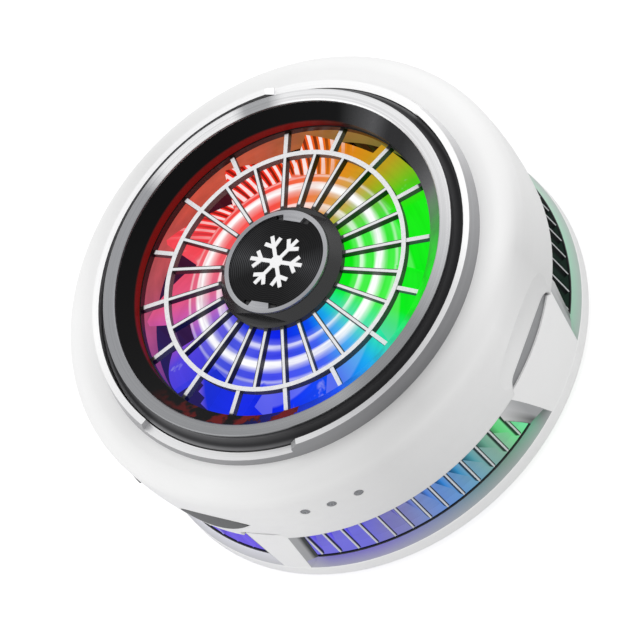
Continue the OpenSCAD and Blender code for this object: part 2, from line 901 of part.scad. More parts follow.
module control_chips() {
    color("black") {
        at(138) translate([board_mid_r, 0, 0]) block(chip_w, chip_l, board_top, chip_t);
        at(146) translate([board_in_r + part_w / 2 + slip, 0, 0]) block(part_w, part_w, board_top, part_t);
        at(109) translate([board_mid_r, 0, 0]) block(part_w, part_w, board_top, part_t);
    }
}

module socket_shell() {
    color("gainsboro") at(socket_angle) difference() {
        outward(socket_in_r, socket_l) translate([0, socket_z]) slot(socket_w, socket_h);
        outward(socket_in_r + socket_back_t, socket_l) translate([0, socket_z])
            slot(socket_w - 2 * socket_t, socket_h - 2 * socket_t);
    }
}

module socket_tongue() {
    color("black") at(socket_angle) {
        outward(socket_in_r + socket_back_t, 2 * tongue_t) translate([0, socket_z])
            slot(socket_w - 2 * socket_t, socket_h - 2 * socket_t);
        outward(socket_in_r + 2 * tongue_t, socket_l - 3 * tongue_t) translate([0, socket_z])
            square([socket_w - socket_h + socket_t, tongue_t], center = true);
    }
}

module power_button() {
    color("gray") at(button_angle) {
        intersection() {
            outward(button_reach - button_flange_t / 2, body_r) translate([0, button_z])
                leaf(button_l, button_h);
            cylinder(r = body_r - button_sink, h = body_h);
        }
        outward(button_reach - button_flange_t, button_flange_t) translate([0, button_z])
            slot(button_l + 1.4, button_h - 2 * slip);
    }
}

module switch_body() {
    color("dimgray") at(button_angle) difference() {
        translate([switch_front - switch_l, -switch_w / 2, board_top]) cube([switch_l, switch_w, switch_h]);
        translate([switch_front - 2 * plunger_r, 0, button_z]) rotate([0, 90, 0])
            cylinder(r = plunger_r + pin_gap, h = switch_l);
    }
}

module switch_plunger() {
    color("red") at(button_angle) translate([switch_front - switch_gap, 0, button_z])
        rotate([0, 90, 0]) cylinder(r = plunger_r, h = 2 * switch_gap);
}

module status_leds() {
    color("ivory") for (a = pipe_angles) at(a) translate([status_r, 0, 0])
        block(status_w, status_w, board_top, led_t);
}

module light_pipes() {
    color("azure") for (a = pipe_angles) at(a) {
        translate([status_r, 0, board_top + led_t]) cylinder(r = pipe_r, h = pipe_rise - led_t);
        translate([status_r, 0, pipe_z]) sphere(pipe_r);
        translate([status_r, 0, pipe_z]) rotate([0, 90, 0])
            cylinder(r = pipe_r, h = body_r - slip - status_r);
    }
}

top_shell();
lower_housing();
collar();
bezel();
trim_ring();
guard();
hub_cap();
hub_ring();
hub_disc();
hub_emblem();
air_duct();
clamp_screws();
heatsink_base();
heatsink_fins();
air_baffle();
impeller();
rotor_yoke();
rotor_magnet();
shaft();
retaining_washer();
motor_base();
motor_screws();
bearing_bush();
stator_core();
stator_coils();
light_board();
light_leds();
hall_sensor();
hot_film();
hot_ceramic();
module_pellets();
cold_ceramic();
cold_film();
foam_gasket();
cold_plate();
back_cover();
holding_magnets();
magnet_backing();
contact_pad();
base_screws();
main_board();
control_chips();
socket_shell();
socket_tongue();
power_button();
switch_body();
switch_plunger();
status_leds();
light_pipes();
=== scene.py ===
"""Phone cooling fan: finishes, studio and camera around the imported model. Metres, +Z up."""
import json
import math

import bpy
from mathutils import Matrix, Vector


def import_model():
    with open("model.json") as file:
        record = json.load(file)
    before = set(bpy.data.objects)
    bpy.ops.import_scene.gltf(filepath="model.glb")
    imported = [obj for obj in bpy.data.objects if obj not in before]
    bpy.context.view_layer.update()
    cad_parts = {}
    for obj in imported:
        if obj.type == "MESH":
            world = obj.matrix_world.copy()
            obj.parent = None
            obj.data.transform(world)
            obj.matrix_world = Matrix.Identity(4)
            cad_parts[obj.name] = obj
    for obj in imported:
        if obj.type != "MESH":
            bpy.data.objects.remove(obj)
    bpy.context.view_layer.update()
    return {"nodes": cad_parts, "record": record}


MM = 0.001
FULL_TURN = 2 * math.pi

# Camera: nearly parallel view from above the front, rolled so that +X runs up to the right
CAMERA_ELEVATION = math.radians(50.7)
CAMERA_ROLL = math.radians(45)
CAMERA_TARGET = Vector((-0.00132, 0.0, 0.01407))
CAMERA_DISTANCE = 3.0
CAMERA_SENSOR = 36
FRAME_WIDTH = 0.08364

# Studio: light from all round, and lamps by name, azimuth, elevation, distance, size and power
AMBIENT = 0.84
LAMPS = [("left", 155, 35, 0.6, 0.8, 1.0), ("right", 25, 35, 0.6, 0.8, 0.95)]
FLOOR_SIZE = 6.0
FLOOR_Z = -0.0002

# Radii of the fan face in millimetres: hub, edge of the drum's lid, and whole face
HUB_R = 8.84
LID_R = 15.6
FACE_R = 22.0

# Guard: height, inside of its ring, end of the outer spokes, inner spokes, and share of pale on its flanks
GUARD_Z = 27.0
GUARD_RING_R = 16.98
SPOKE_END_R = 20.9
SPOKE_START = 82.8
INNER_SPOKES = 24
FLANK_SHARE = 0.12

# Bezel in millimetres: funnel inside the trim ring, and its throat
FUNNEL_R = 23.5
THROAT_R = 23.0
THROAT_Z = 27.15

# Fin ends, sills, belt, shaded vent ends and grooves over the pillars in millimetres
FIN_END_R = 30.75
SILL_IN_R = 30.9
SILL_TOP = 4.8
SILL_FOOT = 2.8
BELT_R = 31.7
END_SHADE_R = 31.2
GROOVE_R = 31.4
GROOVE_Z = 12.5

# Run of the light across the fan for each millimetre of depth
LIGHT_SLANT = 0.8185

# Two whites of the shell and the housing, and the painted daylight that pales the glow of the vents
SHELL_LOW = 0xF2F2F2
SHELL_HIGH = 0xF6F6F6
DAYLIGHT = 0xC8D0DC

# Painted light of the fan face, given off as emission: angle clockwise from +X, seen from above, and colour
FACE_HUES = [
    (0, 0xB9A01C), (14, 0x52C814), (24, 0x10EE0A), (70, 0x08F01C), (82, 0x2CE0A8), (92, 0x1AA8EE),
    (106, 0x0A4CF0), (130, 0x0A22EA), (165, 0x1C34DC), (184, 0x5244DC), (197, 0xB456BC),
    (213, 0xDC5884), (240, 0xF04A58), (265, 0xF5302A), (300, 0xF5301A), (322, 0xF06018),
    (342, 0xE08A18), (360, 0xB9A01C),
]

# Share of a turn where painted red light reaches the throat of the bezel, and its strength
FOOT_SPAN = [(0.0, 0.0), (0.5, 0.0), (0.56, 0.8), (0.88, 0.8), (0.93, 0.0), (1.0, 0.0)]

# Share of a turn where painted slats of light show beyond the drum, and their strength
SLAT_SPAN = [(0.0, 0.0), (0.68, 0.0), (0.74, 0.7), (0.9, 0.8), (0.95, 0.0), (1.0, 0.0)]

# Share of a turn where the vent is seen so steeply that its fins close into one sheet, painted there as one
# even glow
SHEET_SPAN = [(0.0, 0.0), (0.40, 0.0), (0.405, 1.0), (0.46, 1.0), (0.48, 0.0), (1.0, 0.0)]

# Painted shade on the flat top of the shell: angle and share of the full white
TOP_PAINTED_SHADE = [
    (0, 1.0), (45, 0.97), (90, 0.67), (150, 0.93), (180, 0.89), (220, 0.95), (265, 0.79), (315, 0.97),
    (360, 1.0),
]

# Painted shade on the wall of the shell, in the same terms
WALL_PAINTED_SHADE = [(0, 1.0), (22, 0.96), (45, 0.8), (65, 0.96), (105, 0.82), (135, 0.97), (160, 1.0), (360, 1.0)]

# Share of a turn where a painted reflection of the fan's light lies on the funnel, and its strength
MIRROR_SPAN = [
    (0.0, 0.0), (0.06, 0.0), (0.1, 0.3), (0.16, 1.0), (0.31, 1.0), (0.35, 0.3), (0.4, 0.0), (1.0, 0.0),
]

# Share of a turn where painted red gleams cross the near side of the funnel, and their strength
GLEAM_SPAN = [(0.0, 0.0), (0.31, 0.0), (0.35, 0.8), (0.44, 0.6), (0.5, 0.0), (1.0, 0.0)]

# Share of a turn where the painted light of the vents is paled by painted daylight, and how far
PALE_SPAN = [(0.0, 0.0), (0.13, 0.0), (0.2, 0.22), (0.4, 0.22), (0.41, 0.0), (1.0, 0.0)]

# Share of a turn where a painted highlight lies on the barrel of the bezel, and its strength
BARREL_SPAN = [
    (0.0, 0.4), (0.1, 0.2), (0.25, 0.12), (0.34, 0.3), (0.42, 0.7), (0.5, 0.9), (0.6, 0.6), (1.0, 0.4),
]

# Softer painted light given off by the wall of the air duct
DUCT_HUES = [
    (0, 0x4C5A2C), (30, 0x2C6A2C), (80, 0x1E6A4A), (120, 0x20308A), (170, 0x4A2A7C), (200, 0xA04A78),
    (225, 0xB0525C), (262, 0xC8503F), (300, 0xB8573C), (322, 0xA0652F), (340, 0x8A7038), (360, 0x4C5A2C),
]

# Painted light given off by the fins behind the vents
VENT_HUES = [
    (0, 0x16221C), (46, 0x1A2A22), (58, 0x30C878), (73, 0x48EC98), (78, 0x4CE070), (81, 0x62C47C),
    (84, 0x68A084), (88, 0x5A9C94), (93, 0x3C94B8), (98, 0x2A84CC), (103, 0x2A78D4), (108, 0x5474C4),
    (113, 0x6464B4), (119, 0x5E54BC), (125, 0x4638DC), (140, 0x5640E4), (150, 0x7462E6), (210, 0x7462E6),
    (240, 0xA04A90), (280, 0xC03A40), (320, 0xB07030), (340, 0x22302A), (360, 0x16221C),
]

# Tint of that light, with painted shade, painted into the colour of the sills
SILL_HUES = [
    (0, 0xBCE0CC), (25, 0xA8DCC0), (45, 0x9CD0B4), (70, 0x525E5A), (74, 0x5CB48C), (85, 0x6A9684),
    (95, 0x62909C), (104, 0x7488B4), (112, 0x7C82C4), (122, 0x7468D0), (136, 0x6C60C8), (140, 0x9C98C4),
    (150, 0xE2E2EA),
    (210, 0xE2E2EA), (240, 0xB08098), (280, 0xC08080), (320, 0xB89878), (345, 0xC8DCCE), (360, 0xBCE0CC),
]


def rgb(code):
    """Linear colour with full alpha from a hexadecimal sRGB code."""
    def linear(c):
        return c / 12.92 if c <= 0.04045 else ((c + 0.055) / 1.055) ** 2.4
    return tuple(linear((code >> shift & 255) / 255) for shift in (16, 8, 0)) + (1.0,)


class Shader:
    """Short calls for building the node tree of one material around its Principled shader."""

    def __init__(self, name):
        self.material = bpy.data.materials.new(name)
        self.material.use_nodes = True
        self.tree = self.material.node_tree
        self.surface = self.tree.nodes["Principled BSDF"]

    def add(self, kind, inputs=None, **settings):
        node = self.tree.nodes.new("ShaderNode" + kind)
        for key, value in settings.items():
            setattr(node, key, value)
        for key, value in (inputs or {}).items():
            self.put(node.inputs[key], value)
        return node

    def put(self, socket, value):
        if isinstance(value, bpy.types.NodeSocket):
            self.tree.links.new(value, socket)
        else:
            socket.default_value = value

    def set(self, **values):
        """Set or link sockets of the Principled shader, named with _ for a space."""
        for key, value in values.items():
            self.put(self.surface.inputs[key.replace("_", " ").title().replace("Ior", "IOR")], value)

    def math(self, operation, a, b=0.0, clamp=False):
        node = self.add("Math", {0: a, 1: b}, operation=operation, use_clamp=clamp)
        return node.outputs[0]

    def times(self, a, b):
        return self.math("MULTIPLY", a, b)

    def rest(self, a):
        """What is left of 1."""
        return self.math("SUBTRACT", 1.0, a)

    def up(self, kind="True Normal"):
        """How far the surface faces upwards, from -1 to 1."""
        return self.add("SeparateXYZ", {0: self.add("NewGeometry").outputs[kind]}).outputs["Z"]

    def position(self):
        """X, Y and Z in millimetres, fixed in the housing."""
        place = self.add("VectorMath", {0: self.add("NewGeometry").outputs["Position"]}, operation="SCALE")
        place.inputs["Scale"].default_value = 1 / MM
        return place.outputs[0]

    def polar(self, slant=0.0):
        """Clockwise angle from +X as a share of a turn, radius and height in millimetres.

        With a slant, angle and radius are those of the place on the guard that lies along a slanted ray.
        """
        split = self.add("SeparateXYZ", {0: self.position()})
        x, y, z = split.outputs
        if slant:
            y = self.math("ADD", y, self.math("MULTIPLY", self.math("SUBTRACT", z, GUARD_Z), slant))
        angle = self.math("ARCTAN2", self.math("MULTIPLY", y, -1.0), x)
        share = self.math("FRACT", self.math("DIVIDE", angle, FULL_TURN))
        radius = self.math("SQRT", self.math("ADD", self.math("MULTIPLY", x, x), self.math("MULTIPLY", y, y)))
        return share, radius, z

    def sideways(self):
        """How far the surface faces along a circle round the axis, from 0 to 1."""
        normal = self.add("SeparateXYZ", {0: self.add("NewGeometry").outputs["True Normal"]})
        share, _, _ = self.polar()
        angle = self.math("MULTIPLY", share, FULL_TURN)
        along_x = self.math("MULTIPLY", normal.outputs["X"], self.math("SINE", angle))
        along_y = self.math("MULTIPLY", normal.outputs["Y"], self.math("COSINE", angle))
        return self.math("ABSOLUTE", self.math("ADD", along_x, along_y))

    def ramp(self, factor, stops):
        """Colour ramp through (place, colour) stops."""
        node = self.add("ValToRGB", {0: factor})
        elements = node.color_ramp.elements
        for _ in range(len(stops) - 2):
            elements.new(0.5)
        for element, (place, colour) in zip(elements, stops):
            element.position = place
            element.color = colour
        return node.outputs["Color"]

    def hues(self, share, hues):
        return self.ramp(share, [(angle / 360, rgb(code)) for angle, code in hues])

    def curve(self, value, points, high):
        """Grey value along (place, level) points, with places from 0 to high."""
        scaled = self.math("DIVIDE", value, high)
        return self.ramp(scaled, [(place / high, (level, level, level, 1)) for place, level in points])

    def span(self, value, from_low, from_high, to_low=0.0, to_high=1.0):
        node = self.add("MapRange", {0: value, 1: from_low, 2: from_high, 3: to_low, 4: to_high})
        return node.outputs[0]

    def mix(self, factor, a, b, blend="MIX"):
        node = self.add("Mix", data_type="RGBA", blend_type=blend)
        self.put(node.inputs[0], factor)
        self.put(node.inputs[6], a)
        self.put(node.inputs[7], b)
        return node.outputs[2]

    def noise(self, vector, scale, detail=3.0, roughness=0.5):
        inputs = {"Vector": vector, "Scale": scale, "Detail": detail, "Roughness": roughness}
        return self.add("TexNoise", inputs).outputs["Fac"]

    def bump(self, height, strength, distance, normal=None):
        node = self.add("Bump", {"Height": height, "Strength": strength, "Distance": distance})
        if normal is not None:
            self.put(node.inputs["Normal"], normal)
        return node.outputs["Normal"]

    def around(self, turns, share, radius, fineness):
        """Coordinates for streaks that run round the axis."""
        angle = self.math("MULTIPLY", share, FULL_TURN)
        x = self.math("MULTIPLY", self.math("COSINE", angle), turns)
        y = self.math("MULTIPLY", self.math("SINE", angle), turns)
        z = self.math("MULTIPLY", radius, fineness)
        return self.add("CombineXYZ", {0: x, 1: y, 2: z}).outputs[0]

    def slats(self, share, radius):
        """Painted slanted teeth of light beyond the drum, and the painted dark gaps between them."""
        turn = self.math("ADD", self.math("MULTIPLY", share, 64.0), self.math("MULTIPLY", radius, 0.3))
        wave = self.math("PINGPONG", turn, 0.5)
        width = self.span(radius, LID_R, LID_R + 3.0, 0.27, 0.16)
        beyond = self.span(radius, LID_R - 0.1, LID_R + 0.2)
        slat = self.times(self.math("LESS_THAN", wave, width), beyond)
        gap = self.times(self.math("GREATER_THAN", wave, 0.36), beyond)
        return slat, gap


def plastic(name, code, roughness, grain):
    """Moulded plastic with a faint drift of tone and a fine skin."""
    s = Shader(name)
    drift = s.noise(s.position(), 0.09, 2.0)
    fine = s.noise(s.position(), 6.0, 4.0)
    base = rgb(code)
    dark = tuple(c * (1 - grain) for c in base[:3]) + (1.0,)
    s.set(
        base_color=s.mix(drift, dark, base),
        roughness=s.span(fine, 0.3, 0.7, roughness - 0.04, roughness + 0.04),
        normal=s.bump(fine, 0.03, 0.02 * MM),
    )
    return s.material


def bezel_black(name):
    """Black bezel: dull black funnel and graphite barrel outside, with painted highlights, reflections and a
    red glow in the throat.
    """
    s = Shader(name)
    share, radius, height = s.polar()
    fine = s.noise(s.position(), 6.0, 4.0)
    # Painted highlight bands round the barrel, at given heights
    rings = s.curve(height, [
        (0.0, 0.0), (25.0, 0.0), (25.5, 0.1), (26.4, 0.45), (26.8, 0.95), (27.0, 0.5), (27.1, 0.0),
        (27.3, 0.15), (27.8, 0.75), (28.0, 0.5), (28.3, 0.1), (29.0, 0.0),
    ], 29.0)
    sheen = s.times(rings, s.curve(share, BARREL_SPAN, 1.0))
    barrel = s.mix(sheen, s.mix(fine, rgb(0x242426), rgb(0x2C2C2E)), rgb(0x9A9A9C))
    # Funnel black with painted highlight sectors round the axis
    funnel = s.mix(s.span(fine, 0.3, 0.7, 0.0, 0.2), s.hues(share, FUNNEL_PAINTED_SHEEN), rgb(0x0A0A0B))
    # Painted red glow in the throat, painted reflection of the fan's light and painted red gleams, all given
    # off as emission
    foot = s.times(s.span(height, THROAT_Z + 0.1, THROAT_Z - 0.05), s.curve(share, FOOT_SPAN, 1.0))
    throat = s.times(foot, s.math("LESS_THAN", radius, THROAT_R))
    streak = s.noise(s.around(9.0, share, radius, 0.4), 1.0, 3.0)
    inside = s.span(radius, FUNNEL_R + 0.25, FUNNEL_R)
    near = s.times(s.curve(share, MIRROR_SPAN, 1.0), inside)
    mirror = s.times(near, s.span(streak, 0.4, 0.6, 0.75, 1.0))
    gleam = s.times(s.curve(share, GLEAM_SPAN, 1.0), s.times(inside, s.span(streak, 0.5, 0.58)))
    glow = s.math("MAXIMUM", throat, gleam)
    red = s.mix(fine, rgb(0x5A0A0A), rgb(0x8A1410))
    s.set(
        base_color=s.mix(s.span(radius, FUNNEL_R + 0.2, FUNNEL_R + 0.4), funnel, barrel),
        roughness=s.span(fine, 0.3, 0.7, 0.34, 0.44),
        specular_ior_level=0.06,
        emission_color=s.mix(s.math("GREATER_THAN", mirror, glow), red, s.hues(share, FACE_HUES)),
        emission_strength=s.math("MAXIMUM", glow, mirror),
        normal=s.bump(fine, 0.03, 0.02 * MM),
    )
    return s.material


def metal(name, code, roughness, scale=8.0, wear=0.12):
    """Bare or plated metal with cloudy tarnish and fine scratches."""
    s = Shader(name)
    cloud = s.noise(s.position(), 0.4, 4.0)
    fine = s.noise(s.position(), scale, 5.0)
    base = rgb(code)
    dark = tuple(c * (1 - wear) for c in base[:3]) + (1.0,)
    s.set(
        base_color=s.mix(cloud, dark, base),
        metallic=1.0,
        roughness=s.span(fine, 0.3, 0.7, roughness - 0.06, roughness + 0.06),
        normal=s.bump(fine, 0.05, 0.02 * MM),
    )
    return s.material


def spun_silver(name, sectors, roughness):
    """Satin silver turned on a lathe: fine rings and broad sectors of painted sheen."""
    s = Shader(name)
    share, radius, _ = s.polar()
    rings = s.noise(s.around(0.6, share, radius, 9.0), 1.0, 4.0)
    # Broad sectors of painted sheen and shade round the axis
    sheen = s.hues(share, sectors)
    s.set(
        base_color=s.mix(s.span(rings, 0.3, 0.7, 0.0, 0.35), sheen, rgb(0x5A5B5E)),
        metallic=0.85,
        roughness=s.span(rings, 0.3, 0.7, roughness - 0.05, roughness + 0.08),
        normal=s.bump(rings, 0.06, 0.02 * MM),
    )
    return s.material


def two_tone(name):
    """Guard with pale faces on top and black flanks and roots."""
    s = Shader(name)
    share, radius, _ = s.polar()
    face = s.span(s.up(), 0.55, 0.7, FLANK_SHARE, 1.0)
    inner = s.span(radius, HUB_R + 0.35, HUB_R + 0.55)
    outer = s.span(radius, SPOKE_END_R, SPOKE_END_R - 0.2)
    spokes = s.math("SUBTRACT", share, SPOKE_START / 360)
    aside = s.math("PINGPONG", s.times(spokes, INNER_SPOKES), 0.5)
    off_line = s.times(s.times(aside, FULL_TURN / INNER_SPOKES), radius)
    edge = s.times(s.span(off_line, 0.17, 0.21), s.math("LESS_THAN", radius, GUARD_RING_R))
    pale = s.times(s.times(face, s.rest(edge)), s.times(inner, outer))
    grain = s.noise(s.position(), 3.0, 3.0)
    silver = s.mix(grain, rgb(0xD2D3D6), rgb(0xF6F6F7))
    s.set(
        base_color=s.mix(pale, rgb(0x0B0B0C), silver),
        roughness=s.span(grain, 0.3, 0.7, 0.34, 0.46),
        normal=s.bump(grain, 0.04, 0.02 * MM),
    )
    return s.material


def spun_black(name):
    """Black disc with fine turned grooves, paler in broad sectors of painted sheen."""
    s = Shader(name)
    share, radius, _ = s.polar()
    grooves = s.math("SINE", s.math("MULTIPLY", radius, FULL_TURN / 0.28))
    streaks = s.noise(s.around(2.5, share, radius, 3.0), 1.0, 4.0)
    # The pale sides of the grooves carry painted sheen in broad sectors
    s.set(
        base_color=s.mix(s.span(grooves, -1.0, 1.0, 0.0, 0.8), rgb(0x070708), s.hues(share, DISC_PAINTED_SHEEN)),
        metallic=0.5,
        specular_ior_level=0.15,
        roughness=s.span(streaks, 0.3, 0.7, 0.28, 0.44),
        normal=s.bump(grooves, 0.35, 0.05 * MM),
    )
    s.surface.inputs["Anisotropic"].default_value = 0.8
    tangent = s.add("Tangent", direction_type="RADIAL", axis="Z")
    s.put(s.surface.inputs["Tangent"], tangent.outputs[0])
    return s.material


def lit_fan(name):
    """Milky fan plastic with painted light from below, coloured by place, with painted pale rings and slats
    of light.
    """
    s = Shader(name)
    _, radius, height = s.polar()
    share, _, _ = s.polar(LIGHT_SLANT)
    hue = s.hues(share, FACE_HUES)
    # Painted pale rings of light from the spinning blades
    rings = s.curve(radius, [
        (0.0, 0.0), (HUB_R, 0.0), (9.7, 0.1), (10.2, 0.6), (10.6, 0.6), (11.0, 0.06), (11.9, 0.05),
        (12.4, 0.4), (12.8, 1.0), (13.4, 1.0), (13.8, 0.4), (14.1, 0.05), (14.8, 0.05), (15.1, 0.45),
        (15.4, 0.1), (15.8, 0.0), (FACE_R, 0.0),
    ], FACE_R)
    smear = s.noise(s.around(1.6, share, radius, 1.1), 1.0, 3.0, 0.6)
    streak = s.noise(s.around(7.0, share, radius, 0.25), 1.0, 4.0, 0.6)
    glare = s.math("MULTIPLY", rings, s.span(smear, 0.25, 0.6, 0.6, 1.1), clamp=True)
    gleam = s.times(s.span(streak, 0.62, 0.74), s.span(radius, LID_R, LID_R + 2.4, 0.0, 0.3))
    # Painted slats of light, with painted dark gaps that cut the glow
    slat, gap = s.slats(share, radius)
    reach = s.curve(share, SLAT_SPAN, 1.0)
    slats = s.times(slat, reach)
    clear = s.rest(s.times(gap, reach))
    white = s.math("ADD", s.math("ADD", glare, gleam), slats, clamp=True)
    light = s.mix(white, hue, (1.0, 1.0, 1.0, 1.0))
    depth = s.span(height, 10.0, 20.0, 0.85, 1.0)
    strength = s.times(s.times(depth, clear), s.span(smear, 0.2, 0.8, 0.85, 1.05))
    s.set(
        base_color=s.mix(0.93, hue, rgb(0x0A0A0B)),
        roughness=s.span(smear, 0.3, 0.7, 0.3, 0.45),
        specular_ior_level=0.08,
        emission_color=light,
        emission_strength=strength,
    )
    return s.material


def lit_wall(name, hues, strength, base):
    """Surface with a faint painted glow that stands in for the light of the lamps near it."""
    s = Shader(name)
    share, radius, _ = s.polar(LIGHT_SLANT)
    glow = s.hues(share, hues)
    cloud = s.noise(s.around(4.0, share, radius, 0.6), 1.0, 4.0)
    s.set(
        base_color=s.mix(s.span(cloud, 0.3, 0.7, 0.0, 0.3), rgb(base), glow),
        specular_ior_level=0.2,
        roughness=s.span(cloud, 0.3, 0.7, 0.37, 0.53),
        emission_color=glow,
        emission_strength=s.span(cloud, 0.25, 0.75, 0.75 * strength, 1.1 * strength),
    )
    return s.material


def lit_fins(name):
    """Fins with painted panels of light between them, painted highlights on the end faces and painted shade
    in the seams beside these.
    """
    s = Shader(name)
    share, radius, _ = s.polar()
    cloud = s.noise(s.around(4.0, share, radius, 0.6), 1.0, 4.0)
    sheet = s.curve(share, SHEET_SPAN, 1.0)
    # Painted daylight pales the glow of the panels on part of the turn
    pale = s.times(s.span(radius, 28.6, 30.4), s.curve(share, PALE_SPAN, 1.0))
    panel = s.mix(pale, s.hues(share, VENT_HUES), rgb(DAYLIGHT))
    # Painted glow strength: dim deep inside, full across the panels, painted shade in the seams by the ends
    depth = s.curve(radius, [
        (0.0, 0.12), (26.8, 0.12), (27.8, 0.5), (28.8, 1.0), (30.1, 1.0), (30.2, 0.05), (34.0, 0.05),
    ], 34.0)
    # Painted highlight on the end faces, left out where the fins close into one sheet
    end = s.times(s.span(radius, FIN_END_R - 0.12, FIN_END_R - 0.06), s.rest(sheet))
    lit = s.math("MAXIMUM", depth, sheet)
    s.set(
        base_color=s.mix(end, s.mix(cloud, rgb(0x0E1011), rgb(0x16181A)), rgb(0xE0E2E4)),
        roughness=s.span(cloud, 0.3, 0.7, 0.4, 0.55),
        specular_ior_level=0.1,
        emission_color=panel,
        emission_strength=s.times(lit, s.span(cloud, 0.25, 0.75, 0.8, 1.0)),
    )
    return s.material


def lit_base(name):
    """Base of the fins with the painted light of the fan near the axis and of the vents further out."""
    s = Shader(name)
    share, radius, _ = s.polar()
    cloud = s.noise(s.around(4.0, share, radius, 0.6), 1.0, 4.0)
    vent = s.mix(s.curve(share, PALE_SPAN, 1.0), s.hues(share, VENT_HUES), rgb(DAYLIGHT))
    fan_share, _, _ = s.polar(LIGHT_SLANT)
    s.set(
        base_color=s.mix(cloud, rgb(0x1A1C1E), rgb(0x26282A)),
        roughness=s.span(cloud, 0.3, 0.7, 0.4, 0.55),
        specular_ior_level=0.1,
        emission_color=s.mix(s.span(radius, FACE_R, FACE_R + 1.0), s.hues(fan_share, FACE_HUES), vent),
        emission_strength=s.span(cloud, 0.25, 0.75, 0.75, 0.95),
    )
    return s.material


def shell_white(name):
    """White plastic of the shell, with painted shade round the axis on its flat top and its wall."""
    s = Shader(name)
    share, _, _ = s.polar()
    drift = s.noise(s.position(), 0.09, 2.0)
    fine = s.noise(s.position(), 6.0, 4.0)
    flat = s.span(s.up("Normal"), 0.5, 0.95)
    angle = s.times(share, 360.0)
    # tone is painted shade round the axis: the top's table where the surface lies flat, the wall's elsewhere
    tone = s.mix(flat, s.curve(angle, WALL_PAINTED_SHADE, 360.0), s.curve(angle, TOP_PAINTED_SHADE, 360.0))
    white = s.mix(drift, rgb(SHELL_LOW), rgb(SHELL_HIGH))
    s.set(
        base_color=s.mix(1.0, white, tone, "MULTIPLY"),
        roughness=s.span(fine, 0.3, 0.7, 0.28, 0.36),
        normal=s.bump(fine, 0.03, 0.02 * MM, s.add("Bevel", {"Radius": 0.25 * MM}, samples=6).outputs[0]),
    )
    return s.material


def lit_housing(name):
    """White plastic like the shell's, with sills tinted and shaded by painted light, and painted shade on the
    vent ends, seams and grooves.
    """
    s = Shader(name)
    share, radius, height = s.polar()
    drift = s.noise(s.position(), 0.09, 2.0)
    fine = s.noise(s.position(), 6.0, 4.0)
    white = s.mix(drift, rgb(SHELL_LOW), rgb(SHELL_HIGH))
    low = s.math("LESS_THAN", height, SILL_TOP + 0.05)
    # Sills: painted grey shade towards the foot, tinted above by the painted light of the vents
    sill = s.times(low, s.math("LESS_THAN", radius, BELT_R - 0.08))
    fade = s.times(s.span(height, SILL_FOOT, SILL_TOP, 0.2, 1.0), s.span(fine, 0.2, 0.7, 0.85, 1.0))
    shade = s.mix(fade, rgb(0xB4B5B7), s.hues(share, SILL_HUES))
    # Painted dark shade in the seam between fin feet and sills, and painted glow of the vents on the floor
    # inside it
    seam = s.times(low, s.math("LESS_THAN", radius, SILL_IN_R + 0.05))
    floor = s.times(seam, s.math("LESS_THAN", radius, FIN_END_R - 0.1))
    # Painted shade on the vent ends, darkest on their inner part
    ends = s.times(s.span(s.sideways(), 0.1, 0.25), s.math("GREATER_THAN", height, SILL_FOOT))
    inner_end = s.times(ends, s.span(radius, END_SHADE_R + 0.1, END_SHADE_R - 0.1))
    # Painted grey shade in the grooves over the pillars
    groove = s.times(s.math("GREATER_THAN", height, GROOVE_Z), s.math("LESS_THAN", radius, GROOVE_R))
    bevel = s.mix(inner_end, rgb(0xA6A7A9), rgb(0x141C1C))
    wall = s.mix(groove, s.mix(ends, white, bevel), s.mix(fine, rgb(0x8A8B8D), rgb(0x9C9D9F)))
    s.set(
        base_color=s.mix(seam, s.mix(sill, wall, shade), rgb(0x0C1012)),
        roughness=s.span(fine, 0.3, 0.7, 0.28, 0.36),
        emission_color=s.mix(s.curve(share, PALE_SPAN, 1.0), s.hues(share, VENT_HUES), rgb(DAYLIGHT)),
        emission_strength=s.times(floor, 0.9),
        normal=s.bump(fine, 0.03, 0.02 * MM, s.add("Bevel", {"Radius": 0.1 * MM}, samples=6).outputs[0]),
    )
    return s.material


def collar_metal(name):
    """Silver collar with painted light: bright on top, greyer on its sides."""
    s = Shader(name)
    share, radius, _ = s.polar()
    rings = s.noise(s.around(0.6, share, radius, 9.0), 1.0, 4.0)
    # Painted light and shade round the axis: a brighter table for the top, a greyer one for the sides
    face = s.mix(s.span(s.up(), 0.5, 0.8), s.hues(share, COLLAR_SIDE_PAINTED_LIGHT), s.hues(share, COLLAR_TOP_PAINTED_LIGHT))
    s.set(
        base_color=s.mix(s.span(rings, 0.3, 0.7, 0.0, 0.1), face, rgb(0x7A7B7E)),
        metallic=0.85,
        roughness=s.span(rings, 0.3, 0.7, 0.3, 0.4),
        normal=s.bump(rings, 0.04, 0.02 * MM),
    )
    return s.material


def board(name):
    """Solder mask with a faint weave and copper under it."""
    s = Shader(name)
    weave = s.add("TexChecker", {"Vector": s.position(), "Scale": 2.2}).outputs["Fac"]
    cloud = s.noise(s.position(), 1.2, 4.0)
    base = s.mix(cloud, rgb(0x0C3A22), rgb(0x1A5A36))
    s.set(
        base_color=s.mix(s.times(weave, 0.12), base, rgb(0x5A7A30)),
        roughness=s.span(cloud, 0.3, 0.7, 0.3, 0.45),
        normal=s.bump(weave, 0.04, 0.02 * MM),
    )
    return s.material


